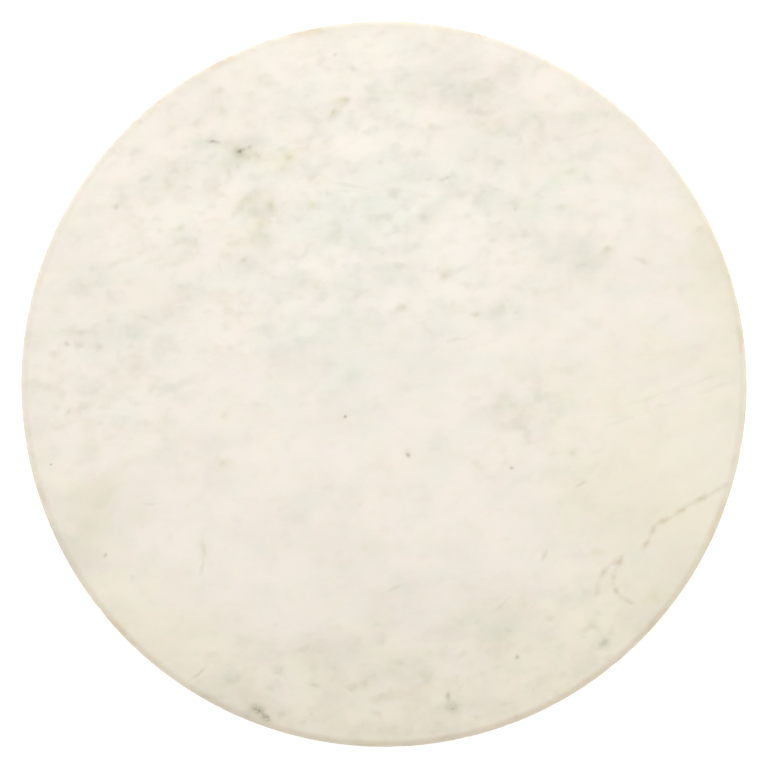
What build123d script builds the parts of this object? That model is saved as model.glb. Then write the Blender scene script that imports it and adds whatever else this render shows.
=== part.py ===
from build123d import *
import os
from math import cos, radians, sin

# A marble lazy susan. A round marble slab turns on an aluminium ring bearing that stands on rubber feet.
#
# Millimetres, +Z up. The origin is the centre of the footprint, on the surface that the feet stand on.
# The slab is screwed to the inner race through a cork gasket. The inner race turns inside a still outer
# race, which is split at the height of the ball centres into a lower and an upper ring, so that the balls
# and their cage can be laid in before the two rings are screwed together. The feet hang on the lower ring.

# Driving dimensions: the slab
slab_radius = 200.0
slab_thickness = 16.0
slab_top_rounding = 5.0
slab_bottom_rounding = 2.5

# Driving dimensions: the balls and their races
ball_radius = 6.35 / 2
ball_count = 24
ball_circle_radius = 128.0
groove_clearance = 0.15  # between a ball and the groove that it runs in
race_gap = 3.0  # between the inner and the outer race
race_chamfer = 0.5

# Driving dimensions: the outer race
lower_ring_height = 6.0  # from its underside to the split
upper_ring_height = 5.5
outer_race_wall = 8.5
flange_radius = 152.0
flange_thickness = 4.0

# Driving dimensions: the inner race
inner_race_drop = 4.5  # its underside, below the ball centres
inner_race_rise = 7.0  # its top face, above the ball centres
inner_race_wall = 8.5
inner_flange_radius = 102.0
inner_flange_thickness = 4.5

# Driving dimensions: the cage
cage_wall = 1.8
cage_height = 7.0
pocket_clearance = 0.25

# Driving dimensions: the feet
foot_count = 6
foot_circle_radius = 142.5
foot_height = 7.0
foot_top_radius = 8.0
foot_bottom_radius = 7.4
foot_seat_depth = 1.0
foot_seat_clearance = 0.2
foot_well_radius = 4.8
foot_well_depth = 4.4
foot_rounding = 0.7

# Driving dimensions: the gasket and the fasteners
gasket_thickness = 1.0
gasket_margin = 0.8  # the gasket stops this far inside the inner race's top face
slab_screw_count = 6
slab_screw_circle_radius = 110.0
race_screw_count = 6
race_screw_circle_radius = 134.7
insert_radius = 3.5
insert_length = 10.0
insert_glue_gap = 0.1
insert_hole_depth = 10.5
insert_groove_width = 1.6
insert_groove_depth = 0.4
insert_groove_places = (0.3, 0.7)  # as shares of the insert's length
washer_thickness = 0.8
washer_radius = 4.5
washer_chamfer = 0.15
m4_radius = 2.0
m4_head_radius = 3.9
m4_head_height = 2.4
m4_head_rounding = 1.5
m4_tip_chamfer = 0.5
m4_recess = (3.8, 0.9, 1.5)  # the cross for the screwdriver: its span, the width of its arms and its depth
m3_radius = 1.5
m3_head_radius = 2.9
m3_head_lip = 0.2
m3_tip_chamfer = 0.4
m3_recess = (2.9, 0.7, 1.1)
recess_taper = 12.0  # degrees
slab_screw_length = 14.0
foot_screw_length = 6.0
race_screw_length = 9.0
race_hole_spare = 1.0  # how much deeper the tapped hole is than its screw reaches
shank_gap = 0.05  # between a screw's shank and the tapped hole that it fills
free_gap = 0.25  # between a screw's shank and a clearance hole

# Heights that follow
base_underside = foot_height - foot_seat_depth
ball_height = base_underside + lower_ring_height
upper_ring_top = ball_height + upper_ring_height
inner_race_bottom = ball_height - inner_race_drop
inner_race_top = ball_height + inner_race_rise
inner_flange_underside = inner_race_top - inner_flange_thickness
slab_underside = inner_race_top + gasket_thickness
foot_washer_underside = foot_well_depth - washer_thickness

# Radii that follow
groove_radius = ball_radius + groove_clearance
inner_race_radius = ball_circle_radius - race_gap / 2
outer_race_bore = ball_circle_radius + race_gap / 2
outer_race_radius = outer_race_bore + outer_race_wall
inner_wall_radius = inner_race_radius - inner_race_wall


def ring_points(radius, count):
    """Points spread evenly on a circle round the axis, the first of them on +X."""
    angles = [radians(360 * number / count) for number in range(count)]
    return [(radius * cos(angle), radius * sin(angle)) for angle in angles]


def save(part, name):
    """Label a finished piece and write it to its own STEP file."""
    part.label = name
    export_step(part, f"parts/{name}.step")


def washer(hole_radius):
    """A flat washer that stands on z = 0."""
    with BuildPart() as made:
        with BuildSketch():
            Circle(washer_radius)
            Circle(hole_radius, mode=Mode.SUBTRACT)
        extrude(amount=washer_thickness)
        chamfer(made.edges().filter_by(GeomType.CIRCLE).sort_by(SortBy.RADIUS)[-2:], washer_chamfer)
    return made.part


def cross_recess(span, width, depth, face_height):
    """The tapered cross that a screwdriver fits, to be cut upwards into a screw's head."""
    with BuildPart() as cross:
        with BuildSketch(Plane.XY.offset(face_height)):
            Rectangle(span, width)
            Rectangle(width, span)
        extrude(amount=depth, taper=recess_taper)
    return cross.part


def pan_head_screw(length):
    """An M4 screw, head down: its shank rises from z = 0, and its rounded head hangs below."""
    recess = cross_recess(*m4_recess, -m4_head_height)
    with BuildPart() as screw:
        with BuildSketch():
            Circle(m4_radius)
        extrude(amount=length)
        chamfer(screw.edges().group_by(Axis.Z)[-1], m4_tip_chamfer)
        with BuildSketch():
            Circle(m4_head_radius)
        extrude(amount=-m4_head_height)
        fillet(screw.edges().group_by(Axis.Z)[0], m4_head_rounding)
        add(recess, mode=Mode.SUBTRACT)
    return screw.part


def countersunk_screw(length):
    """An M3 screw, head down: its flat head starts on z = 0, and its length counts from there."""
    cone = m3_head_radius - m3_radius
    recess = cross_recess(*m3_recess, 0)
    with BuildPart() as screw:
        with BuildSketch(Plane.XZ):
            with BuildLine():
                Polyline(
                    (0, 0),
                    (m3_head_radius, 0),
                    (m3_head_radius, m3_head_lip),
                    (m3_radius, m3_head_lip + cone),
                    (m3_radius, length - m3_tip_chamfer),
                    (m3_radius - m3_tip_chamfer, length),
                    (0, length),
                    close=True,
                )
            make_face()
        revolve(axis=Axis.Z)
        add(recess, mode=Mode.SUBTRACT)
    return screw.part


def foot():
    """A rubber foot that stands on z = 0, with a well in its underside for a washer and a screw head."""
    with BuildPart() as made:
        with BuildSketch(Plane.XZ):
            with BuildLine():
                Polyline(
                    (m4_radius + free_gap, foot_height),
                    (foot_top_radius, foot_height),
                    (foot_top_radius, foot_height - foot_seat_depth),
                    (foot_bottom_radius, 0),
                    (foot_well_radius, 0),
                    (foot_well_radius, foot_well_depth),
                    (m4_radius + free_gap, foot_well_depth),
                    close=True,
                )
            make_face()
        revolve(axis=Axis.Z)
        fillet(made.edges().group_by(Axis.Z)[0].sort_by(SortBy.RADIUS)[-1:], foot_rounding)
    return made.part


def ring_groove():
    """The round groove for the balls, cut into the race profile that is being drawn."""
    with Locations((ball_circle_radius, ball_height)):
        Circle(groove_radius, mode=Mode.SUBTRACT)


os.makedirs("parts", exist_ok=True)

# The small pieces that several places use
m4_washer = washer(m4_radius + free_gap)
slab_screw = pan_head_screw(slab_screw_length)
foot_screw = pan_head_screw(foot_screw_length)
race_screw = countersunk_screw(race_screw_length)
rubber = foot()

# The slab: a thick disc with well rounded edges, and blind holes in its underside for the inserts
with BuildPart() as marble_slab:
    with BuildSketch(Plane.XY.offset(slab_underside)):
        Circle(slab_radius)
    extrude(amount=slab_thickness)
    fillet(marble_slab.edges().group_by(Axis.Z)[-1], slab_top_rounding)
    fillet(marble_slab.edges().group_by(Axis.Z)[0], slab_bottom_rounding)
    with BuildSketch(Plane.XY.offset(slab_underside)):
        with PolarLocations(slab_screw_circle_radius, slab_screw_count):
            Circle(insert_radius + insert_glue_gap)
    extrude(amount=insert_hole_depth, mode=Mode.SUBTRACT)
save(marble_slab.part, "marble_slab")

# The inserts: brass sleeves, tapped M4 inside and grooved outside to key into the glue
with BuildPart() as insert:
    with BuildSketch(Plane.XZ):
        with BuildLine():
            Polyline(
                (m4_radius + shank_gap, 0),
                (insert_radius, 0),
                (insert_radius, insert_length),
                (m4_radius + shank_gap, insert_length),
                close=True,
            )
        make_face()
        with Locations([(insert_radius, insert_length * place) for place in insert_groove_places]):
            Rectangle(2 * insert_groove_depth, insert_groove_width, mode=Mode.SUBTRACT)
    revolve(axis=Axis.Z)
with BuildPart() as slab_inserts:
    with Locations((0, 0, slab_underside)):
        with PolarLocations(slab_screw_circle_radius, slab_screw_count):
            add(insert.part)
save(slab_inserts.part, "slab_inserts")

# The gasket: a flat ring that keeps the stone off the metal
with BuildPart() as cork_gasket:
    with BuildSketch(Plane.XY.offset(inner_race_top)):
        Circle(inner_race_radius - gasket_margin)
        Circle(inner_flange_radius + gasket_margin, mode=Mode.SUBTRACT)
        with PolarLocations(slab_screw_circle_radius, slab_screw_count):
            Circle(m4_radius + 2 * free_gap, mode=Mode.SUBTRACT)
    extrude(amount=gasket_thickness)
save(cork_gasket.part, "cork_gasket")

# The inner race: a grooved wall that carries a thin flange inwards, under the slab
with BuildPart() as inner_race:
    with BuildSketch(Plane.XZ) as inner_profile:
        with BuildLine():
            Polyline(
                (inner_wall_radius, inner_race_bottom),
                (inner_race_radius, inner_race_bottom),
                (inner_race_radius, inner_race_top),
                (inner_flange_radius, inner_race_top),
                (inner_flange_radius, inner_flange_underside),
                (inner_wall_radius, inner_flange_underside),
                close=True,
            )
        make_face()
        chamfer(inner_profile.vertices().group_by(Axis.Z)[0], race_chamfer)
        ring_groove()
    revolve(axis=Axis.Z)
    with BuildSketch(Plane.XY.offset(inner_flange_underside)):
        with PolarLocations(slab_screw_circle_radius, slab_screw_count):
            Circle(m4_radius + free_gap)
    extrude(amount=inner_flange_thickness, mode=Mode.SUBTRACT)
save(inner_race.part, "inner_race")

with BuildPart() as slab_washers:
    with Locations((0, 0, inner_flange_underside - washer_thickness)):
        with PolarLocations(slab_screw_circle_radius, slab_screw_count):
            add(m4_washer)
save(slab_washers.part, "slab_washers")

with BuildPart() as slab_screws:
    with Locations((0, 0, inner_flange_underside - washer_thickness)):
        with PolarLocations(slab_screw_circle_radius, slab_screw_count):
            add(slab_screw)
save(slab_screws.part, "slab_screws")

# The cage: a thin nylon hoop in the gap between the races, with a round pocket for each ball
with BuildPart() as ball_cage:
    with BuildSketch(Plane.XY.offset(ball_height - cage_height / 2)):
        Circle(ball_circle_radius + cage_wall / 2)
        Circle(ball_circle_radius - cage_wall / 2, mode=Mode.SUBTRACT)
    extrude(amount=cage_height)
    for ball_x, ball_y in ring_points(ball_circle_radius, ball_count):
        with BuildSketch(Plane(origin=(0, 0, ball_height), x_dir=(0, 0, 1), z_dir=(ball_x, ball_y, 0))):
            Circle(ball_radius + pocket_clearance)
        extrude(amount=ball_circle_radius + cage_wall, mode=Mode.SUBTRACT)
save(ball_cage.part, "ball_cage")

# The balls, each a piece of its own
for number, (ball_x, ball_y) in enumerate(ring_points(ball_circle_radius, ball_count), start=1):
    with BuildPart() as ball:
        with Locations((ball_x, ball_y, ball_height)):
            Sphere(ball_radius)
    save(ball.part, f"ball_{number:02}")

# The lower half of the outer race: it has the flange, and the seats for the feet under it
with BuildPart() as lower_race:
    with BuildSketch(Plane.XZ) as lower_profile:
        with BuildLine():
            Polyline(
                (outer_race_bore, base_underside),
                (flange_radius, base_underside),
                (flange_radius, base_underside + flange_thickness),
                (outer_race_radius, base_underside + flange_thickness),
                (outer_race_radius, ball_height),
                (outer_race_bore, ball_height),
                close=True,
            )
        make_face()
        chamfer(lower_profile.vertices().group_by(Axis.Z)[0], race_chamfer)
        chamfer(lower_profile.vertices().sort_by(Axis.X)[-1:], race_chamfer)
        ring_groove()
    revolve(axis=Axis.Z)
    with BuildSketch(Plane.XY.offset(base_underside)):
        with PolarLocations(foot_circle_radius, foot_count):
            Circle(foot_top_radius + foot_seat_clearance)
    extrude(amount=foot_seat_depth, mode=Mode.SUBTRACT)
    with BuildSketch(Plane.XY.offset(base_underside)):
        with PolarLocations(foot_circle_radius, foot_count):
            Circle(m4_radius + shank_gap)
    extrude(amount=flange_thickness, mode=Mode.SUBTRACT)
    with Locations(Plane(origin=(0, 0, base_underside), z_dir=(0, 0, -1))):
        with PolarLocations(race_screw_circle_radius, race_screw_count, start_angle=180 / race_screw_count):
            CounterSinkHole(m3_radius + free_gap, m3_head_radius + free_gap, lower_ring_height)
save(lower_race.part, "lower_race")

# The upper half of the outer race: a plain ring, tapped from below for the screws that close the race
with BuildPart() as upper_race:
    with BuildSketch(Plane.XZ) as upper_profile:
        with BuildLine():
            Polyline(
                (outer_race_bore, ball_height),
                (outer_race_radius, ball_height),
                (outer_race_radius, upper_ring_top),
                (outer_race_bore, upper_ring_top),
                close=True,
            )
        make_face()
        chamfer(upper_profile.vertices().group_by(Axis.Z)[-1], race_chamfer)
        ring_groove()
    revolve(axis=Axis.Z)
    with BuildSketch(Plane.XY.offset(ball_height)):
        with PolarLocations(race_screw_circle_radius, race_screw_count, start_angle=180 / race_screw_count):
            Circle(m3_radius + shank_gap)
    extrude(amount=race_screw_length - lower_ring_height + race_hole_spare, mode=Mode.SUBTRACT)
save(upper_race.part, "upper_race")

with BuildPart() as race_screws:
    with Locations((0, 0, base_underside)):
        with PolarLocations(race_screw_circle_radius, race_screw_count, start_angle=180 / race_screw_count):
            add(race_screw)
save(race_screws.part, "race_screws")

# The feet, each a piece of its own, with a washer and a screw up its middle
for number, (foot_x, foot_y) in enumerate(ring_points(foot_circle_radius, foot_count), start=1):
    with BuildPart() as rubber_foot:
        with Locations((foot_x, foot_y, 0)):
            add(rubber)
    save(rubber_foot.part, f"foot_{number}")

with BuildPart() as foot_washers:
    with Locations((0, 0, foot_washer_underside)):
        with PolarLocations(foot_circle_radius, foot_count):
            add(m4_washer)
save(foot_washers.part, "foot_washers")

with BuildPart() as foot_screws:
    with Locations((0, 0, foot_washer_underside)):
        with PolarLocations(foot_circle_radius, foot_count):
            add(foot_screw)
save(foot_screws.part, "foot_screws")
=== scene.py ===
from math import atan2, cos, degrees, hypot, pi, radians, sin, tan

import bmesh
import bpy
from mathutils import Matrix, Vector, noise


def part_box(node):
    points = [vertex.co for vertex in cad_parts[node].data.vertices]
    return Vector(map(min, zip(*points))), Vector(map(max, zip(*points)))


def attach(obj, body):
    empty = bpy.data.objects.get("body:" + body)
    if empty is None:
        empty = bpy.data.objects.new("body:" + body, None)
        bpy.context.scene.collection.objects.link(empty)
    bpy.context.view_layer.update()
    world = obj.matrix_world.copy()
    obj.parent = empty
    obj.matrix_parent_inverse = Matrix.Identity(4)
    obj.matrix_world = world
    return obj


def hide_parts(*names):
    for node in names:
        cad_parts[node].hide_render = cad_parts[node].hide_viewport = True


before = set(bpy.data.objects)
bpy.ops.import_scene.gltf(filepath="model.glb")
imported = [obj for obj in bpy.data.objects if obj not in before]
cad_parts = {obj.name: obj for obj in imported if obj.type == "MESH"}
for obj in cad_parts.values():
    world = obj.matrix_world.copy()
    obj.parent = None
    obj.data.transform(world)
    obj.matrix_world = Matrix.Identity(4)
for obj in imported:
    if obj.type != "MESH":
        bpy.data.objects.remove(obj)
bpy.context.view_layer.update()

# The looks of a marble lazy susan, built round its CAD model. Metres, +Z up, as in the frame.
# Names that end in _mm are in millimetres.

mm = 0.001
endless = 1e6  # the half height of a mark that goes right through the stone
count_around = 6  # feet, screws and inserts stand six to a circle
sharp_angle = radians(35)  # edges that turn by more than this are shown sharp

slab_low, slab_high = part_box("marble_slab")
slab_radius = slab_high.x
slab_top = slab_high.z
slab_bottom = slab_low.z


# ---------------------------------------------------------------------------------------------------
# How a finish is written: a Field is a number or a vector that varies over a surface, and arithmetic on
# fields adds nodes to the material that they belong to.
# ---------------------------------------------------------------------------------------------------

class Field:
    def __init__(self, tree, socket):
        self.tree = tree
        self.socket = socket

    def math(self, operation, *others):
        node = self.tree.nodes.new("ShaderNodeMath")
        node.operation = operation
        for value, socket in zip((self, *others), node.inputs):
            plug(self.tree, value, socket)
        return Field(self.tree, node.outputs[0])

    def vector_math(self, operation, *others, output=0):
        node = self.tree.nodes.new("ShaderNodeVectorMath")
        node.operation = operation
        for value, socket in zip((self, *others), node.inputs):
            plug(self.tree, value, socket)
        return Field(self.tree, node.outputs[output])

    def __add__(self, other):
        return self.math("ADD", other)

    def __sub__(self, other):
        return self.math("SUBTRACT", other)

    def __mul__(self, other):
        return self.math("MULTIPLY", other)

    def parts(self):
        """The x, y and z of a vector field."""
        node = self.tree.nodes.new("ShaderNodeSeparateXYZ")
        plug(self.tree, self, node.inputs[0])
        return [Field(self.tree, output) for output in node.outputs]

    def turned(self, angle):
        """A vector field, turned about Z by an angle that may vary."""
        node = self.tree.nodes.new("ShaderNodeVectorRotate")
        node.rotation_type = "Z_AXIS"
        plug(self.tree, self, node.inputs["Vector"])
        plug(self.tree, angle, node.inputs["Angle"])
        return Field(self.tree, node.outputs[0])

    def ramp(self, start, end, low=0.0, high=1.0):
        """Goes smoothly from low, where this field is start, to high, where it is end."""
        node = self.tree.nodes.new("ShaderNodeMapRange")
        node.interpolation_type = "SMOOTHSTEP"
        for value, socket in zip((self, start, end, low, high), node.inputs):
            plug(self.tree, value, socket)
        return Field(self.tree, node.outputs[0])


def plug(tree, value, socket):
    """Feed a socket from a field, or set it to a plain value."""
    if isinstance(value, Field):
        tree.links.new(value.socket, socket)
    else:
        socket.default_value = value


class Finish:
    """A material being made, with the patterns that the finishes are built from."""

    def __init__(self, name, **uniform):
        self.material = bpy.data.materials.new(name)
        self.material.use_nodes = True
        self.tree = self.material.node_tree
        self.shader = self.tree.nodes["Principled BSDF"]
        for socket, value in uniform.items():
            self.shader.inputs[socket.replace("_", " ")].default_value = value
        coordinates = self.tree.nodes.new("ShaderNodeTexCoord")
        self.place = Field(self.tree, coordinates.outputs["Object"])

    def texture(self, kind, place, centre, size, turn=0.0):
        """A texture node that sees its place from a region: the centre is 0, and the half sizes are 1."""
        node = self.tree.nodes.new(kind)
        node.texture_mapping.vector_type = "TEXTURE"
        node.texture_mapping.translation = centre
        node.texture_mapping.rotation = (0, 0, radians(turn))
        node.texture_mapping.scale = size
        plug(self.tree, place, node.inputs["Vector"])
        return node

    def noise(self, place, size, turn=0.0, seed=0.0, detail=3.0, roughness=0.5, output="Factor"):
        """Cloudy noise with patches of about the given size, in metres, from 0 to 1 about 0.5."""
        node = self.texture("ShaderNodeTexNoise", place, (seed, 0.37 * seed, -0.61 * seed), size, turn)
        node.inputs["Scale"].default_value = 1.0
        node.inputs["Detail"].default_value = detail
        node.inputs["Roughness"].default_value = roughness
        return Field(self.tree, node.outputs[0 if output == "Factor" else 1])

    def warped(self, place, size, reach, seed=0.0):
        """The same coordinates, pushed about by up to reach, so that outlines wander."""
        wander = self.noise(place, (size, size, size), seed=seed, detail=2.0, output="Color")
        centred = wander.vector_math("SUBTRACT", (0.5, 0.5, 0.5))
        scaled = centred.vector_math("MULTIPLY", (2 * reach, 2 * reach, 2 * reach))
        return place.vector_math("ADD", scaled)

    def spots(self, place, table):
        """The sum of oval marks that go right through the piece. Each fades to 0 at its outline."""
        total = 0.0
        for x_mm, y_mm, length_mm, width_mm, turn, strength in table:
            half = (length_mm * mm / 2, width_mm * mm / 2, endless)
            mark = self.texture("ShaderNodeTexGradient", place, (x_mm * mm, y_mm * mm, 0), half, turn)
            mark.gradient_type = "SPHERICAL"
            total = Field(self.tree, mark.outputs[1]).math("MULTIPLY_ADD", strength, total)
        return total

    def mix(self, factor, first, second, blend="MIX"):
        node = self.tree.nodes.new("ShaderNodeMix")
        node.data_type = "RGBA"
        node.blend_type = blend
        for value, socket in zip((factor, first, second), (node.inputs[0], node.inputs[6], node.inputs[7])):
            plug(self.tree, value, socket)
        return Field(self.tree, node.outputs[2])

    def tint(self, colour, factor, multiplier):
        """The colour, multiplied by another as far as the factor says."""
        return self.mix(factor, colour, (*multiplier, 1.0), "MULTIPLY")

    def bump(self, height, depth):
        """Dents and bulges: height is from 0 to 1, and depth is what 1 stands for, in metres."""
        node = self.tree.nodes.new("ShaderNodeBump")
        node.inputs["Strength"].default_value = 1.0
        node.inputs["Distance"].default_value = depth
        plug(self.tree, height, node.inputs["Height"])
        self.tree.links.new(node.outputs[0], self.shader.inputs["Normal"])

    def set(self, **fields):
        for socket, value in fields.items():
            plug(self.tree, value, self.shader.inputs[socket.replace("_", " ")])

    def cover(self, *names):
        """Give this finish to CAD nodes."""
        for name in names:
            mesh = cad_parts[name].data
            mesh.materials.clear()
            mesh.materials.append(self.material)


def vector(tree, x, y, z):
    """A vector field from three numbers or fields."""
    node = tree.nodes.new("ShaderNodeCombineXYZ")
    for value, socket in zip((x, y, z), node.inputs):
        plug(tree, value, socket)
    return Field(tree, node.outputs[0])


def radius_of(place):
    """How far a point is from the Z axis."""
    return place.vector_math("MULTIPLY", (1.0, 1.0, 0.0)).vector_math("LENGTH", output=1)


def about_nearest(place, circle_radius, first_turn=0.0):
    """Coordinates whose Z axis is that of the nearest of the small pieces spread round a circle."""
    x, y, _ = place.parts()
    step = 2 * pi / count_around
    number = ((y.math("ARCTAN2", x) - first_turn) * (1 / step)).math("ROUND")
    upright = place.turned(number * -step - first_turn)
    return upright.vector_math("SUBTRACT", (circle_radius, 0.0, 0.0))


def lathe_lines(finish, place, pitch, seed=0.0):
    """The fine rings that a lathe tool leaves, round the Z axis, on flat and on upright faces alike."""
    _, _, height = place.parts()
    across = vector(finish.tree, radius_of(place), height, 0.0)
    return finish.noise(across, (pitch, pitch, 1.0), seed=seed, detail=3.0, roughness=0.6)


def satin_grain(finish):
    """Stretch the highlights round the Z axis, as on turned metal."""
    tangent = finish.tree.nodes.new("ShaderNodeTangent")
    tangent.direction_type = "RADIAL"
    tangent.axis = "Z"
    finish.tree.links.new(tangent.outputs[0], finish.shader.inputs["Tangent"])


# ---------------------------------------------------------------------------------------------------
# Marble. The oval marks of this slab are listed one by one, as seen from above: x, y, length and width in
# millimetres, turn in degrees, and last how strong the mark is.
# ---------------------------------------------------------------------------------------------------

grain_turn = 11.0  # degrees from X; the clouds of the stone lie along this direction

# Large and faint: the clouds, the fields of colour behind them, a band of painted shade, and where the stone
# is busy at all
cool_clouds = [
    (-13, 93, 100, 44, 14, 1), (33, 118, 80, 34, 10, 0.8), (83, 104, 95, 60, 12, 1),
    (-104, 126, 80, 46, 20, 0.5), (-150, 26, 110, 50, -5, 0.6), (-20, 6, 34, 26, 60, 1),
    (-48, 24, 60, 26, 10, 0.6), (112, 74, 80, 24, 12, 0.6), (-165, 55, 50, 30, 10, 0.5),
]
grey_clouds = [
    (-100, 118, 72, 40, 15, 0.9), (-150, 20, 72, 40, 0, 0.3), (-22, -163, 62, 24, 5, 0.9),
    (16, -150, 54, 26, 8, 0.8), (-66, -178, 44, 18, -8, 1.8), (72, -141, 84, 42, 18, 0.7),
    (-156, -61, 54, 38, 0, 0.8), (44, -88, 60, 44, 0, 0.6), (110, 88, 100, 40, 5, 0.3),
    (82, -14, 56, 36, 25, 0.35), (48, 44, 62, 20, 14, 0.8), (156, 14, 54, 44, 0, 0.5),
    (40, 162, 70, 30, 5, 0.6), (100, 94, 34, 26, 0, 0.4), (114, 147, 46, 16, 15, 0.5),
    (-46, 136, 56, 20, 18, 0.4), (72, 99, 26, 22, 0, 0.6), (-66, 97, 42, 22, 0, 0.8),
    (176, 82, 30, 20, 60, 0.7), (116, 70, 50, 16, 12, 0.8), (-42, 172, 34, 18, 0, 0.5),
    (-176, -90, 60, 110, -20, 1), (26, 165, 120, 40, 0, 0.3),
]
bright_clouds = [
    (126, 97, 50, 26, 10, 1), (-62, 160, 80, 44, 15, 0.4), (166, -44, 110, 60, 0, 1),
    (34, 80, 80, 28, 18, 0.8), (-150, 82, 60, 30, 15, 0.6), (-40, 70, 60, 24, 15, 0.6),
    (40, -20, 60, 50, 0, 0.4), (-40, 121, 26, 24, 0, 1), (178, -62, 70, 110, 0, 1),
    (-145, 44, 90, 32, 0, 0.7), (0, 44, 56, 30, 0, 0.7),
]
yellow_clouds = [
    (-54, 120, 44, 20, 20, 1), (-76, 84, 52, 26, 10, 0.7), (-160, -60, 60, 44, 0, 0.7),
    (145, 20, 80, 60, 0, 0.5), (110, -60, 90, 60, 20, 0.5), (-70, -20, 34, 70, 0, 0.4),
]
cool_fields = [
    (-12, 84, 270, 230, 10, 1), (-20, 0, 170, 130, 60, 0.5),
]
yellow_fields = [
    (158, -66, 170, 270, 35, 0.95), (192, 80, 80, 240, 0, 1), (-170, -80, 130, 190, 0, 0.45),
    (110, -140, 160, 120, -20, 0.5), (-125, -135, 130, 90, -20, 0.6), (0, -215, 520, 260, 0, 0.7),
]
# painted shade: a broad band that greys the -Y side of the top, where the key light is weakest
shaded_near_band = [
    (0, -215, 520, 260, 0, 1),
]
busy_fields = [
    (-20, 105, 380, 210, 8, 1), (10, -165, 330, 90, 0, 1), (-150, 10, 130, 130, 0, 0.8),
    (115, -135, 120, 70, -20, 0.8), (70, -20, 120, 80, 20, 0.5),
]

# Small: specks with a black core, specks without one, coloured stains, and thin dashes
dark_specks = [
    (-21, -18, 4.2, 3.3, 50, 1), (13, -39, 6.9, 4.8, 115, 0.9), (70, -46, 4.8, 3.6, 0, 0.9),
    (-153, -94, 4.5, 3.6, 75, 0.9), (-183, -44, 2.5, 2.5, 0, 1), (103, -38, 4.8, 4.5, 0, 0.5),
    (-27, 181, 4.5, 3.6, 0, 0.6), (-21, 156, 7.5, 6, 30, 0.5), (-17, 173, 6.6, 5.1, 140, 0.5),
    (-147, 97, 6, 5.4, 120, 0.6), (-174, 22, 6, 3.9, 150, 0.6), (-173, -15, 6.6, 4.8, 60, 0.5),
    (-89, -44, 8.1, 5.1, 0, 0.5), (-88, -17, 4.8, 4.5, 0, 0.4), (72, 39, 5.4, 3.6, 15, 0.5),
    (32, 112, 7.2, 4.5, 20, 0.6), (23, 112, 4.8, 3.9, 0, 0.4), (-79, 127, 9, 6.9, 55, 1.1),
    (-74, 130, 9, 5.1, 30, 0.6), (-94, 133, 13.5, 3.9, 172, 0.9), (-102, 137, 10.5, 3.9, 165, 0.4),
    (-80, 119, 9, 6, 80, 0.5), (-69, 125, 13.5, 4.2, 145, 0.5), (-107, 108, 9, 4.5, 165, 0.5),
    (-62, 89, 5.4, 3.9, 10, 0.6), (-68, 88, 5.4, 3.9, 10, 0.5), (-62, 98, 4.5, 10.5, 0, 0.4),
    (38, -178, 15, 11, 165, 0.75), (35, -171, 8.5, 6.8, 100, 0.8), (-69, -179, 15, 10, 150, 0.95),
    (-64, -184, 10, 7, 165, 0.95), (-56, -181, 10, 5, 165, 0.4), (121, -142, 11, 8, 25, 0.65),
    (73, -150, 6, 6, 0, 0.7), (-39, -165, 12, 5.4, 168, 0.6), (-60, -132, 4.8, 4.5, 0, 0.4),
    (-40, -181, 6, 4.5, 140, 0.5), (143, 66, 6.9, 3.6, 165, 0.5), (110, 66, 15, 4.8, 19, 0.4),
    (123, 74, 13.5, 6.9, 24, 0.4), (10, 42, 9, 5.4, 17, 0.25), (-77, 68, 7.2, 5.1, 8, 0.5),
    (-13, -66, 4.8, 4.2, 160, 0.4), (-9, -57, 4.5, 3.9, 150, 0.4), (-138, -106, 6.9, 5.7, 135, 0.4),
    (157, 23, 3.3, 5.4, 0, 0.4), (107, 158, 5.1, 2.7, 150, 0.5), (82, -167, 3, 6, 0, 0.5),
    (25, 112, 5, 3.6, 20, 0.4), (35, 113, 4.6, 3.4, 20, 0.5), (72, 96, 3, 2.4, 0, 0.6),
]
soft_specks = [
    (-149, 6, 15.6, 11.7, 120, 0.9), (-157, 21, 13, 9.1, 80, 0.8), (39, 24, 15.6, 6.5, 10, 0.7),
    (72, 99, 17, 11, 170, 0.5), (97, 97, 10, 8, 100, 0.5), (-43, 23, 15.6, 9.1, 15, 0.7),
    (-34, 49, 15.6, 9.1, 25, 0.7), (-85, 20, 7.8, 6.5, 140, 0.7), (-150, 35, 7.8, 5.2, 18, 0.7),
    (-45, -11, 10.4, 6.5, 77, 0.6), (-137, 87, 10.4, 5.2, 165, 0.6), (60, 79, 9.1, 5.2, 176, 0.6),
    (6, 104, 13, 10.4, 0, 0.8), (89, -7, 11.7, 7.8, 20, 0.6), (72, -24, 11.7, 7.8, 0, 0.6),
    (48, 178, 15.6, 11.7, 0, 0.6), (9, 173, 11.7, 9.1, 0, 0.6), (-42, 172, 15.6, 10.4, 0, 0.6),
    (103, 117, 11.7, 6.5, 10, 0.7), (48, 46, 18.2, 7.8, 10, 0.5), (-119, 110, 10.4, 18.2, 0, 0.6),
    (-96, 109, 18.2, 13, 30, 0.7), (120, -141, 18, 14, 0, 1), (38, -179, 20.8, 15.6, 0, 0.6),
    (17, -152, 23.4, 10.4, 5, 0.5), (-15, 3, 20.8, 15.6, 60, 0.4), (-57, 116, 18.2, 13, 30, 0.5),
    (-157, 21, 5, 4, 0, 0.8), (-174, 22, 8, 6, 0, 0.7), (-173, -15, 9, 6.5, 60, 0.6),
    (50, 38, 13, 5.5, 10, 0.8), (10, 42, 11, 6, 20, 0.7), (73, 39, 8, 5, 10, 0.7),
    (134, 91, 12, 9, 0, 0.7), (6, 104, 20, 15, 0, 0.3), (-52, 122, 6.5, 18.2, -36, 0.5),
    (-79, 127, 26, 20, 40, 1), (-70, 134, 24, 11, -5, 0.7), (-98, 133, 32, 13, -6, 1),
    (-94, 110, 20, 16, 0, 0.6), (-112, 124, 22, 12, 20, 0.5),
]
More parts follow.
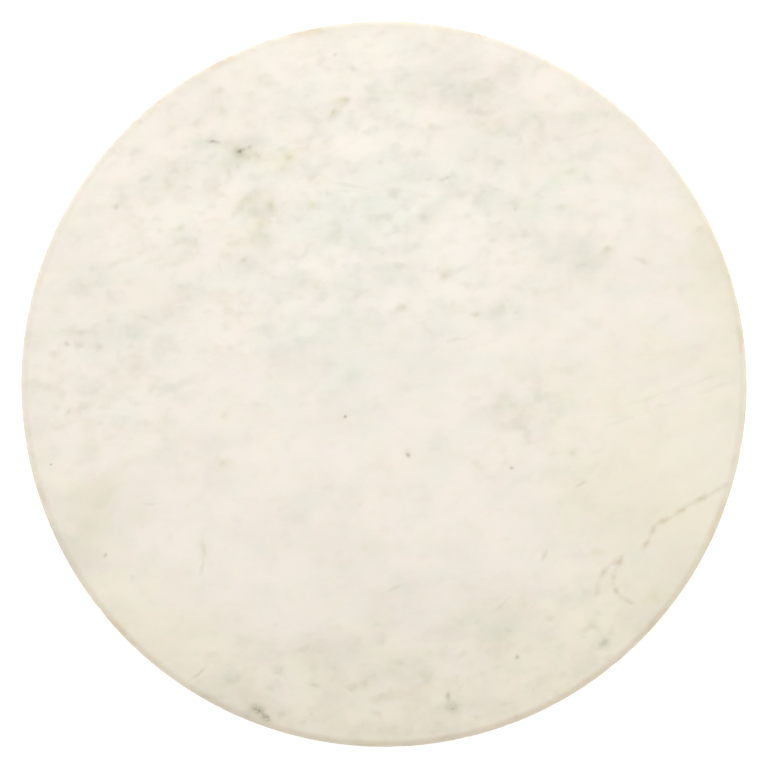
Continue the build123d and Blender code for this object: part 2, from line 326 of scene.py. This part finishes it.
olive_specks = [
    (-120, 109, 10, 18, 0, 0.9), (-74, 101, 34, 20, 12, 0.8), (-67, 88, 14, 9, 0, 1),
    (-62, 97, 9, 18, 0, 0.6), (-53, 124, 16, 10, 20, 0.5), (-45, 128, 34, 10, 12, 0.6),
    (-22, 156, 14, 11, 20, 0.9), (-27, 149, 16, 7, 35, 0.8), (-40, 99, 18, 8, -5, 0.7),
    (-86, 42, 10, 26, 0, 0.7), (-88, 74, 14, 6, 45, 0.6), (-78, 127, 22, 18, 0, 0.7),
    (-66, 78, 16, 30, 0, 0.5), (117, -92, 14, 10, 0, 0.8), (149, -118, 28, 20, 30, 0.7),
    (-134, -73, 20, 16, 0, 0.5), (-87, -17, 10, 9, 0, 0.8), (50, 38, 13, 5, 10, 0.8),
    (10, 42, 11, 6, 15, 0.5), (101, 117, 14, 5, 8, 0.9), (122, 73, 15, 5, 22, 0.9),
    (174, 84, 14, 9, 30, 0.9), (33, 60, 9, 14, -50, 0.8), (39, 24, 16, 4, 10, 0.6),
    (97, 97, 9, 7, 0, 0.7), (104, -37, 12, 10, 0, 0.7), (-99, -90, 10, 26, 0, 0.6),
    (20, -168, 60, 16, 5, 0.5), (-88, -43, 16, 12, 0, 0.6),
]
green_specks = [
    (-35, 48, 14, 12, 0, 0.9), (-135, 28, 18, 12, 20, 0.8), (-168, 30, 26, 10, -10, 0.6),
    (-18, 5, 22, 26, 0, 0.5), (72, 99, 26, 20, 20, 0.35), (-15, 112, 60, 10, -6, 0.5),
    (110, 76, 60, 14, 12, 0.5), (13, -38, 12, 10, 0, 0.6), (-92, 118, 34, 22, 0, 0.6),
    (-48, 37, 26, 18, 0, 0.5), (5, 96, 46, 34, 10, 0.5),
]
dashes = [
    (-102, -159, 18.2, 3.1, 38, 0.9), (6, -112, 14.3, 3.4, 29, 0.7), (108, -55, 14.3, 3.1, 30, 0.8),
    (65, -121, 18.2, 2.9, 45, 0.6), (88, -94, 13, 4.4, 66, 0.8), (-99, -92, 4.4, 15.6, 0, 0.5),
    (-100, -101, 3.9, 13, -10, 0.7), (-128, -66, 14.3, 2.6, 4, 0.6), (-19, 109, 34, 4.2, -10, 0.6),
    (141, 68, 16, 4, -15, 0.7), (-28, 149, 10.4, 3.1, 56, 0.6), (-74, 66, 18.2, 2.9, 30, 0.3),
    (-60, 41, 26, 2.1, 10, 0.2), (-10, 176, 15.6, 3.1, 20, 0.4),
]

# Lines: the points of their routes in millimetres, with None between one route and the next
brown_vein = [
    (190, -54), (180, -60), (168, -66), (158, -73), (149, -77), (146, -84), (142, -91), None,
    (132, -94), (127, -102), (125, -110), (130, -117), (138, -121), None,
    (131, -94), (123, -100), (118, -107), (117, -117),
]
faint_streaks = [
    (119, -25), (142, -16), (168, -7), (194, 2), None,
    (128, -14), (160, -3), (188, 7), None,
    (112, -39), (122, -33),
]


def steps(route):
    """The straight steps of routes whose points are parted by None."""
    return [(start, end) for start, end in zip(route, route[1:]) if start and end]


def line(route, width_mm, overlap):
    """A table of long thin marks, laid end over end along a route."""
    strength = 1.0
    table = []
    for (x_1, y_1), (x_2, y_2) in steps(route):
        length = hypot(x_2 - x_1, y_2 - y_1) * overlap
        turn = degrees(atan2(y_2 - y_1, x_2 - x_1))
        table.append(((x_1 + x_2) / 2, (y_1 + y_2) / 2, length, width_mm, turn, strength))
    return table


def marble():
    finish = Finish("honed_marble", Roughness=0.5, IOR=1.45)
    tint, spots = finish.tint, finish.spots
    own_place = finish.place
    _, up, height = own_place.parts()

    # The beds of the stone lean, so that on the rim the marks move aside with their depth
    below_top = height * -1.0 + slab_top
    place = own_place.vector_math("ADD", vector(finish.tree, below_top * 0.9, below_top * -0.6, 0.0))
    loose = finish.warped(place, 0.036, 0.015, seed=1.3)
    close = finish.warped(place, 0.009, 0.0032, seed=4.1)
    jagged = finish.warped(place, 0.0030, 0.0009, seed=7.7)

    broad = finish.noise(loose, (0.080, 0.050, 0.06), grain_turn, seed=2.0, detail=3.0)
    patches = finish.noise(loose, (0.032, 0.022, 0.02), grain_turn, seed=5.0, detail=4.0)
    mottle = finish.noise(close, (0.011, 0.008, 0.01), grain_turn, seed=9.0, detail=3.0)
    crystals = finish.noise(place, (0.0020, 0.0016, 0.0018), grain_turn, seed=3.0, detail=2.0)
    warmth = finish.noise(loose, (0.016, 0.012, 0.02), grain_turn, seed=12.0, detail=4.0)
    green = finish.noise(close, (0.016, 0.012, 0.02), grain_turn, seed=17.0, detail=4.0)
    flecks = finish.noise(jagged, (0.0100, 0.0078, 0.008), grain_turn, seed=21.0, detail=1.0)
    busy = spots(loose, busy_fields).ramp(0.0, 0.5, 0.35, 1.0)

    # The ground, and the greys that are all over it
    colour = finish.mix(warmth.ramp(0.30, 0.70), (0.827, 0.763, 0.668, 1), (0.813, 0.754, 0.687, 1))
    colour = tint(colour, green.ramp(0.42, 0.62), (0.969, 1.000, 0.982))
    colour = tint(colour, broad.ramp(0.40, 0.70), (0.950, 0.952, 0.945))
    colour = tint(colour, patches.ramp(0.42, 0.72) * busy, (0.928, 0.933, 0.921))
    colour = tint(colour, mottle.ramp(0.45, 0.80) * busy, (0.926, 0.930, 0.912))
    colour = tint(colour, crystals.ramp(0.40, 0.75), (0.988, 0.988, 0.985))
    colour = tint(colour, flecks.ramp(0.56, 0.80) * busy, (0.900, 0.903, 0.878))

    # The clouds and the fields of this slab, and painted shade on its -Y side
    patchy = patches.ramp(0.30, 0.65, 0.5, 1.2)
    cool, grey, yellow, bright = (
        spots(loose, clouds).ramp(0.0, 1.0) * patchy
        for clouds in (cool_clouds, grey_clouds, yellow_clouds, bright_clouds)
    )
    colour = tint(colour, cool, (0.950, 0.984, 0.978))
    colour = tint(colour, grey, (0.930, 0.934, 0.922))
    colour = tint(colour, yellow, (0.998, 0.994, 0.925))
    colour = finish.mix(bright * 0.5, colour, (0.835, 0.792, 0.710, 1))
    colour = tint(colour, spots(loose, cool_fields).ramp(0.0, 1.0), (0.988, 1.002, 1.020))
    colour = tint(colour, spots(loose, yellow_fields).ramp(0.0, 1.0), (0.998, 1.000, 0.915))
    # painted shade across the -Y side of the top
    colour = tint(colour, spots(loose, shaded_near_band).ramp(0.0, 0.8), (0.968, 0.962, 0.945))

    # Its small marks
    broken = mottle.ramp(0.3, 0.6, 0.4, 1.0)
    specks = spots(jagged, dark_specks)
    halo = specks.ramp(0.0, 0.6) * mottle.ramp(0.35, 0.6, 0.4, 1.0)
    core = specks.ramp(0.30, 1.1) * crystals.ramp(0.35, 0.60, 0.2, 1.0)
    vein = spots(jagged, line(brown_vein, 5.6, 1.35)).ramp(0.0, 1.3)
    streaks = spots(close, line(faint_streaks, 3.0, 1.3)).ramp(0.0, 1.2)
    colour = tint(colour, spots(close, soft_specks).ramp(0.0, 1.0), (0.905, 0.915, 0.895))
    colour = tint(colour, spots(jagged, dashes).ramp(0.0, 1.0), (0.830, 0.840, 0.805))
    colour = tint(colour, spots(close, olive_specks).ramp(0.0, 1.0) * broken, (0.905, 0.890, 0.790))
    colour = tint(colour, spots(close, green_specks).ramp(0.0, 1.0) * broken, (0.900, 0.955, 0.925))
    colour = tint(colour, halo, (0.880, 0.890, 0.850))
    colour = tint(colour, core, (0.450, 0.470, 0.420))
    colour = tint(colour, vein * mottle.ramp(0.30, 0.55, 0.35, 1.0), (0.790, 0.735, 0.635))
    colour = tint(colour, streaks * patches, (0.880, 0.875, 0.860))

    # The stained rim, and painted shade with a brown cast on its side towards -Y
    stain = finish.noise(close, (0.016, 0.016, 0.01), seed=6.0, detail=3.0)
    arris = height.ramp(slab_top - 7.5 * mm, slab_top - 4.0 * mm)
    edge = radius_of(own_place).ramp(slab_radius - 6.5 * mm, slab_radius - 1.0 * mm) * arris
    # painted shade: the rim is darkened and browned on the -Y side, which faces away from the key light
    near_side_shade = up.ramp(0.05, -0.15) * stain.ramp(0.3, 0.5, 0.3, 1.0)
    colour = tint(colour, edge, (0.978, 0.962, 0.935))
    colour = tint(colour, edge * near_side_shade, (1.000, 0.960, 0.930))
    colour = tint(colour, edge * stain.ramp(0.55, 0.68), (0.930, 0.870, 0.800))

    # The underside, which is left as it was sawn
    saw_turn = 62.0
    sawn = finish.noise(own_place, (0.0009, 0.12, 0.02), saw_turn, seed=15.0, detail=3.0)
    below = height.ramp(slab_bottom + 0.8 * mm, slab_bottom + 0.1 * mm)
    colour = tint(colour, sawn.ramp(0.40, 0.65) * below, (0.960, 0.962, 0.965))

    finish.set(Base_Color=colour, Roughness=mottle.ramp(0.3, 0.7, 0.46, 0.56) + below * 0.2)
    finish.bump(crystals * 0.5 + mottle * 0.5 + sawn * below, 0.06 * mm)
    return finish


# ---------------------------------------------------------------------------------------------------
# Metal, plastic, cork and rubber
# ---------------------------------------------------------------------------------------------------

washer_radius = 4.5 * mm
race_screw_head_radius = 2.9 * mm
race_screw_first_turn = pi / count_around  # these stand halfway between the others
slab_screw_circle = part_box("slab_washers")[1].x - washer_radius
foot_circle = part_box("foot_washers")[1].x - washer_radius
race_screw_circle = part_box("race_screws")[1].y - race_screw_head_radius
ball_low, ball_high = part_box("ball_01")
ball_radius = (ball_high.z - ball_low.z) / 2
ball_circle = ball_high.x - ball_radius
ball_height = ball_high.z - ball_radius


def turned_aluminium():
    """Clear anodised, with lathe rings, and a track that the balls have polished in its grooves."""
    finish = Finish("turned_aluminium", Metallic=1.0, Anisotropic=0.45)
    satin_grain(finish)
    place = finish.place
    _, _, height = place.parts()
    rings = lathe_lines(finish, place, 0.00035, seed=2.0)
    clouds = finish.noise(place, (0.045, 0.045, 0.02), seed=4.0, detail=4.0)
    brushed = finish.warped(place, 0.02, 0.006)
    scuffs = finish.noise(brushed, (0.0012, 0.016, 0.004), 35.0, seed=8.0, detail=4.0)

    aside = radius_of(place) - ball_circle
    off_ball = vector(finish.tree, aside, height - ball_height, 0.0).vector_math("LENGTH", output=1)
    track = off_ball.ramp(ball_radius + 0.5 * mm, ball_radius + 0.2 * mm)

    colour = finish.mix(rings.ramp(0.3, 0.7), (0.770, 0.778, 0.785, 1), (0.700, 0.708, 0.718, 1))
    colour = finish.tint(colour, clouds.ramp(0.40, 0.70), (0.940, 0.945, 0.955))
    colour = finish.tint(colour, scuffs.ramp(0.66, 0.80), (0.860, 0.860, 0.855))
    colour = finish.tint(colour, track, (0.820, 0.800, 0.770))
    roughness = clouds.ramp(0.3, 0.7, 0.30, 0.40) + scuffs.ramp(0.62, 0.80, 0.0, 0.12)
    finish.set(Base_Color=colour, Roughness=roughness - track * 0.16)
    finish.bump(rings, 0.000006)
    return finish


def polished_steel():
    """Hardened and lapped, with hair scratches and a film of oil."""
    finish = Finish("polished_steel", Metallic=1.0)
    film = finish.noise(finish.place, (0.0022, 0.0022, 0.0022), seed=3.0, detail=4.0)
    rubbed = finish.warped(finish.place, 0.004, 0.002)
    hairs = finish.noise(rubbed, (0.00012, 0.004, 0.002), 20.0, seed=6.0)
    colour = finish.mix(film.ramp(0.35, 0.65), (0.790, 0.795, 0.805, 1), (0.700, 0.690, 0.665, 1))
    roughness = film.ramp(0.3, 0.7, 0.05, 0.12) + hairs.ramp(0.62, 0.75, 0.0, 0.12)
    finish.set(Base_Color=colour, Roughness=roughness)
    finish.bump(hairs, 0.000001)
    return finish


def zinc_plate(name, circle_radius, first_turn=0.0):
    """Bright zinc, faintly blue and straw coloured, with rings about each screw's own axis."""
    finish = Finish(name, Metallic=1.0, Anisotropic=0.2)
    own_place = about_nearest(finish.place, circle_radius, first_turn)
    rings = lathe_lines(finish, own_place, 0.00022, seed=5.0)
    bloom = finish.noise(finish.place, (0.0042, 0.0042, 0.0042), seed=9.0, detail=4.0)
    pits = finish.noise(finish.place, (0.0005, 0.0005, 0.0005), seed=1.0, detail=2.0)
    colour = finish.mix(bloom.ramp(0.35, 0.65), (0.700, 0.725, 0.760, 1), (0.745, 0.725, 0.665, 1))
    colour = finish.tint(colour, pits.ramp(0.60, 0.75), (0.780, 0.775, 0.760))
    roughness = bloom.ramp(0.3, 0.7, 0.24, 0.40) + pits.ramp(0.55, 0.75, 0.0, 0.15)
    finish.set(Base_Color=colour, Roughness=roughness)
    finish.bump(rings * 0.6 + pits * 0.4, 0.000008)
    return finish


def machined_brass():
    """Turned brass, a little dull where the glue has touched it."""
    finish = Finish("machined_brass", Metallic=1.0)
    own_place = about_nearest(finish.place, slab_screw_circle)
    rings = lathe_lines(finish, own_place, 0.0003, seed=7.0)
    tarnish = finish.noise(finish.place, (0.003, 0.003, 0.003), seed=2.0, detail=4.0)
    colour = finish.mix(rings.ramp(0.3, 0.7), (0.800, 0.620, 0.310, 1), (0.700, 0.520, 0.235, 1))
    colour = finish.tint(colour, tarnish.ramp(0.50, 0.72), (0.700, 0.640, 0.560))
    finish.set(Base_Color=colour, Roughness=tarnish.ramp(0.3, 0.7, 0.25, 0.45))
    finish.bump(rings, 0.000010)
    return finish


def moulded_nylon():
    """Ivory nylon with a fine spark-eroded grain, flow marks and the mould's parting line."""
    finish = Finish("moulded_nylon", IOR=1.53, Subsurface_Weight=0.15, Subsurface_Scale=0.001)
    place = finish.place
    _, _, height = place.parts()
    flow = finish.noise(finish.warped(place, 0.01, 0.004), (0.012, 0.012, 0.004), seed=3.0, detail=3.0)
    grain = finish.noise(place, (0.00035, 0.00035, 0.00035), seed=6.0, detail=2.0)
    parting = (height - ball_height).math("ABSOLUTE").ramp(0.00012, 0.00003)
    colour = finish.mix(flow.ramp(0.35, 0.65), (0.850, 0.825, 0.760, 1), (0.810, 0.780, 0.700, 1))
    colour = finish.tint(colour, grain.ramp(0.55, 0.75), (0.940, 0.935, 0.920))
    colour = finish.tint(colour, parting, (0.820, 0.800, 0.760))
    finish.set(Base_Color=colour, Roughness=grain.ramp(0.3, 0.7, 0.45, 0.60))
    finish.bump(grain * 0.5 + parting * 0.5, 0.00003)
    return finish


def pressed_cork():
    """Granules of several browns, pressed together, with dark gaps between them."""
    finish = Finish("pressed_cork", Roughness=0.85)
    place = finish.warped(finish.place, 0.0012, 0.0003)
    node = finish.texture("ShaderNodeTexVoronoi", place, (0, 0, 0), (0.0015, 0.0012, 0.0009))
    node.inputs["Scale"].default_value = 1.0
    shade = Field(finish.tree, node.outputs["Color"]).parts()[0]
    gap = Field(finish.tree, node.outputs["Distance"])
    pores = finish.noise(finish.place, (0.0003, 0.0003, 0.0003), seed=4.0, detail=2.0)
    colour = finish.mix(shade, (0.600, 0.400, 0.225, 1), (0.430, 0.262, 0.130, 1))
    colour = finish.tint(colour, gap.ramp(0.45, 0.75), (0.550, 0.480, 0.400))
    colour = finish.tint(colour, pores.ramp(0.58, 0.72), (0.600, 0.550, 0.500))
    finish.set(Base_Color=colour, Roughness=shade.ramp(0.0, 1.0, 0.75, 0.92))
    finish.bump(gap.ramp(0.75, 0.35) * 0.7 + pores.ramp(0.7, 0.5) * 0.3, 0.00015)
    return finish


def moulded_rubber():
    """Black rubber with a fine grain, a little dust, and a smoother face where it stands."""
    finish = Finish("moulded_rubber", IOR=1.5)
    _, _, height = finish.place.parts()
    grain = finish.noise(finish.place, (0.0004, 0.0004, 0.0004), seed=5.0, detail=2.0)
    settled = finish.warped(finish.place, 0.003, 0.001)
    dust = finish.noise(settled, (0.0025, 0.0025, 0.0012), seed=8.0, detail=4.0)
    worn = height.ramp(0.0009, 0.0001)
    colour = finish.mix(dust.ramp(0.52, 0.80), (0.030, 0.030, 0.031, 1), (0.066, 0.064, 0.061, 1))
    colour = finish.mix(worn * dust.ramp(0.3, 0.6), colour, (0.085, 0.083, 0.080, 1))
    finish.set(Base_Color=colour, Roughness=grain.ramp(0.3, 0.7, 0.62, 0.80) - worn * 0.18)
    finish.bump(grain, 0.00004)
    return finish


# ---------------------------------------------------------------------------------------------------
# The slab: finer than the CAD node that it stands for, with a rim that is a little worn, and the same
# blind holes for the inserts
# ---------------------------------------------------------------------------------------------------

rim_count = 720
top_rounding = 5.0 * mm
bottom_rounding = 2.5 * mm
hole_radius = 3.6 * mm
room_over_insert = 0.5 * mm
hole_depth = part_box("slab_inserts")[1].z - slab_bottom + room_over_insert
wave_depth = 0.07 * mm
chip_depth = 1.6 * mm  # for a full unit of noise, of which only the peaks cut in


def wear(place):
    """How deep the rim is worn at a place: gentle waves, and here and there a small chip."""
    waves = 0.5 + 0.5 * noise.noise(place * 55.0)
    chip = max(0.0, noise.noise(place * 240.0) - 0.40)
    return waves * wave_depth + chip * chip_depth


def rim_profile():
    """(radius, height, inward radius, inward height, share of wear) down the rounded rim of the slab."""
    steps_of_top, steps_of_wall, steps_of_bottom = 12, 5, 7
    stations = []
    for step in range(steps_of_top + 1):
        angle = pi / 2 * (1 - step / steps_of_top)
        out, up = cos(angle), sin(angle)
        centre = (slab_radius - top_rounding, slab_top - top_rounding)
        share = min(1.0, 3.0 * step / steps_of_top)
        radius, height = centre[0] + top_rounding * out, centre[1] + top_rounding * up
        stations.append((radius, height, -out, -up, share))
    wall_top, wall_bottom = slab_top - top_rounding, slab_bottom + bottom_rounding
    for step in range(1, steps_of_wall):
        height = wall_top + (wall_bottom - wall_top) * step / steps_of_wall
        stations.append((slab_radius, height, -1.0, 0.0, 1.0))
    for step in range(steps_of_bottom + 1):
        angle = pi / 2 * step / steps_of_bottom
        out, down = cos(angle), sin(angle)
        centre = (slab_radius - bottom_rounding, slab_bottom + bottom_rounding)
        share = min(1.0, 3.0 * (1 - step / steps_of_bottom))
        radius, height = centre[0] + bottom_rounding * out, centre[1] - bottom_rounding * down
        stations.append((radius, height, -out, down, share))
    return stations


def bridge(bm, outer, inner):
    """Faces between two rings: quads, or three triangles a step where the inner ring has half the points."""
    count = len(inner)
    for index in range(count):
        here, after = inner[index], inner[(index + 1) % count]
        if len(outer) == count:
            bm.faces.new((outer[index], outer[(index + 1) % count], after, here))
        else:
            first, middle, last = (outer[(2 * index + extra) % len(outer)] for extra in range(3))
            bm.faces.new((first, middle, here))
            bm.faces.new((middle, after, here))
            bm.faces.new((middle, last, after))


def flat_disc(bm, rim, height):
    """Fill a ring with coarser and coarser rings, down to a fan round its centre."""
    outer = rim
    for share in (0.90, 0.74, 0.50, 0.24):
        count = len(outer) // 2
        radius = slab_radius * share
        turns = [2 * pi * index / count for index in range(count)]
        inner = [bm.verts.new((radius * cos(turn), radius * sin(turn), height)) for turn in turns]
        bridge(bm, outer, inner)
        outer = inner
    centre = bm.verts.new((0.0, 0.0, height))
    for index, point in enumerate(outer):
        bm.faces.new((point, outer[(index + 1) % len(outer)], centre))


def insert_holes():
    """Plugs to cut the blind holes with, in one mesh."""
    bm = bmesh.new()
    for number in range(count_around):
        turn = 2 * pi * number / count_around
        place = (slab_screw_circle * cos(turn), slab_screw_circle * sin(turn), slab_bottom)
        bmesh.ops.create_cone(
            bm, cap_ends=True, segments=64, radius1=hole_radius, radius2=hole_radius,
            depth=2 * hole_depth, matrix=Matrix.Translation(place),
        )
    return finished(bm, "hole_plugs")


def finished(bm, name):
    """An object with the mesh that was being made."""
    bmesh.ops.recalc_face_normals(bm, faces=bm.faces)
    mesh = bpy.data.meshes.new(name)
    bm.to_mesh(mesh)
    bm.free()
    piece = bpy.data.objects.new(name, mesh)
    bpy.context.scene.collection.objects.link(piece)
    return piece


def stone_slab():
    bm = bmesh.new()
    rings = []
    for radius, height, in_radius, in_height, share in rim_profile():
        ring = []
        for index in range(rim_count):
            turn = 2 * pi * index / rim_count
            depth = wear(Vector((radius * cos(turn), radius * sin(turn), height))) * share
            out = radius + in_radius * depth
            ring.append(bm.verts.new((out * cos(turn), out * sin(turn), height + in_height * depth)))
        rings.append(ring)
    for upper, lower in zip(rings, rings[1:]):
        bridge(bm, upper, lower)
    flat_disc(bm, rings[0], slab_top)
    flat_disc(bm, rings[-1], slab_bottom)
    piece = finished(bm, "stone_slab")

    plugs = insert_holes()
    cut = piece.modifiers.new("insert holes", "BOOLEAN")
    cut.operation = "DIFFERENCE"
    cut.solver = "EXACT"
    cut.object = plugs
    depsgraph = bpy.context.evaluated_depsgraph_get()
    shape = bpy.data.meshes.new_from_object(piece.evaluated_get(depsgraph))
    piece.modifiers.clear()
    piece.data = shape
    bpy.data.objects.remove(plugs)
    shape.shade_smooth()
    shape.set_sharp_from_angle(angle=sharp_angle)
    return piece


# ---------------------------------------------------------------------------------------------------
# The two rings of the outer race: as their CAD nodes, but with a rounder groove, because the flats of the
# groove in the CAD meshes would cut into the balls
# ---------------------------------------------------------------------------------------------------

groove_radius = ball_radius + 0.15 * mm
groove_tolerance = 0.06 * mm
groove_step = radians(1.5)  # the longest step round the Z axis
groove_curl = radians(9.0)  # the longest step round the circle of the ball centres
most_halvings = 6
same_point = 0.001 * mm


def from_ball_circle(point):
    """A point as its turn about Z, and its direction and distance from the circle of the ball centres."""
    aside, above = hypot(point.x, point.y) - ball_circle, point.z - ball_height
    return atan2(point.y, point.x), atan2(above, aside), hypot(aside, above)


def in_groove(vertex):
    return abs(from_ball_circle(vertex.co)[2] - groove_radius) < groove_tolerance


def steps_of(edge):
    """How far an edge of a groove goes, round the Z axis and round the circle of the ball centres."""
    first, second = (from_ball_circle(vertex.co) for vertex in edge.verts)
    return (second[0] - first[0] + pi) % (2 * pi) - pi, second[1] - first[1]


def too_long(edge):
    if not all(in_groove(vertex) for vertex in edge.verts):
        return False
    step, curl = steps_of(edge)
    return abs(step) > groove_step or abs(curl) > groove_curl


def rounder_ring(node, name):
    """A copy of a CAD node, whose groove is cut into shorter steps that lie on the true groove."""
    bm = bmesh.new()
    bm.from_mesh(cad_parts[node].data)
    bmesh.ops.remove_doubles(bm, verts=bm.verts, dist=same_point)
    for _ in range(most_halvings):
        for edge in [edge for edge in bm.edges if too_long(edge)]:
            first, second = (from_ball_circle(vertex.co) for vertex in edge.verts)
            step, curl = steps_of(edge)
            turn, direction, reach = first[0] + step / 2, first[1] + curl / 2, (first[2] + second[2]) / 2
            radius = ball_circle + reach * cos(direction)
            middle = bmesh.utils.edge_split(edge, edge.verts[0], 0.5)[1]
            middle.co = (radius * cos(turn), radius * sin(turn), ball_height + reach * sin(direction))
        bmesh.ops.triangulate(bm, faces=bm.faces)
    piece = finished(bm, name)
    shape = piece.data
    if "custom_normal" in shape.attributes:  # these belong to the coarse mesh
        shape.attributes.remove(shape.attributes["custom_normal"])
    shape.shade_smooth()
    shape.set_sharp_from_angle(angle=sharp_angle)
    return piece


def stands_for(piece, finish, body, node):
    """Give a new piece its finish, and show it instead of a CAD node."""
    piece.data.materials.clear()
    piece.data.materials.append(finish.material)
    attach(piece, body)
    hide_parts(node)


aluminium = turned_aluminium()
aluminium.cover("inner_race")
stands_for(rounder_ring("lower_race", "lower_ring"), aluminium, "base", "lower_race")
stands_for(rounder_ring("upper_race", "upper_ring"), aluminium, "base", "upper_race")
stands_for(stone_slab(), marble(), "turntable", "marble_slab")
polished_steel().cover(*[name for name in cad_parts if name.startswith("ball_") and name != "ball_cage"])
moulded_nylon().cover("ball_cage")
machined_brass().cover("slab_inserts")
pressed_cork().cover("cork_gasket")
zinc_plate("zinc_of_slab_screws", slab_screw_circle).cover("slab_screws", "slab_washers")
zinc_plate("zinc_of_foot_screws", foot_circle).cover("foot_screws", "foot_washers")
zinc_plate("zinc_of_race_screws", race_screw_circle, race_screw_first_turn).cover("race_screws")
moulded_rubber().cover(*[f"foot_{number}" for number in range(1, count_around + 1)])


# ---------------------------------------------------------------------------------------------------
# Camera, light and floor
# ---------------------------------------------------------------------------------------------------

def camera():
    """Straight above the slab, with +Y up in the picture."""
    share_of_frame = 0.9458
    widest_below_top = 4.1 * mm  # where the rounded rim is seen edge on
    data = bpy.data.cameras.new("camera")
    data.lens = 100.0
    data.sensor_width = 36.0
    half_view = tan(atan2(data.sensor_width / 2, data.lens)) * share_of_frame
    piece = bpy.data.objects.new("camera", data)
    bpy.context.scene.collection.objects.link(piece)
    piece.location = (0, 0, slab_top - widest_below_top + slab_radius / half_view)
    bpy.context.scene.camera = piece


def soft_light(name, place, target, size, power, colour):
    data = bpy.data.lights.new(name, "AREA")
    data.shape = "DISK"
    data.size = size
    data.energy = power
    data.color = colour
    piece = bpy.data.objects.new(name, data)
    bpy.context.scene.collection.objects.link(piece)
    piece.location = place
    piece.rotation_euler = (Vector(target) - Vector(place)).to_track_quat("-Z", "Y").to_euler()
    piece.visible_camera = False


def floor():
    """A pale sheet with a glow that keeps it white round the object, and that fades under the slab."""
    mesh = bpy.data.meshes.new("floor")
    reach = 30.0
    corners = [(-reach, -reach, 0), (reach, -reach, 0), (reach, reach, 0), (-reach, reach, 0)]
    mesh.from_pydata(corners, [], [(0, 1, 2, 3)])
    piece = bpy.data.objects.new("floor", mesh)
    bpy.context.scene.collection.objects.link(piece)
    finish = Finish("paper", Roughness=0.9)
    grain = finish.noise(finish.place, (0.002, 0.002, 0.002), detail=3.0)
    glow = radius_of(finish.place).ramp(slab_radius - 34 * mm, slab_radius - 2 * mm, 0.06, 0.55)
    finish.set(Base_Color=finish.mix(grain, (0.95, 0.95, 0.945, 1), (0.97, 0.97, 0.965, 1)))
    finish.set(Emission_Color=(1, 1, 1, 1), Emission_Strength=glow)
    mesh.materials.append(finish.material)


def surroundings():
    """A studio dome, whiter near the horizon than overhead, and darker towards -Y."""
    world = bpy.data.worlds.new("studio")
    world.use_nodes = True
    bpy.context.scene.world = world
    tree = world.node_tree
    direction = Field(tree, tree.nodes.new("ShaderNodeTexCoord").outputs["Generated"])
    _, y, height = direction.parts()
    strength = height.ramp(0.10, 0.55, 1.42, 0.35) * y.ramp(-1.0, -0.4, 0.50, 1.0)
    plug(tree, strength, tree.nodes["Background"].inputs["Strength"])
    tree.nodes["Background"].inputs["Color"].default_value = (1.0, 1.0, 1.0, 1)


camera()
soft_light("key", (-0.04, 0.36, 1.35), (0, 0, 0), 1.1, 14.4, (1.0, 0.995, 0.985))
floor()
surroundings()
bpy.context.scene.view_settings.view_transform = "Standard"
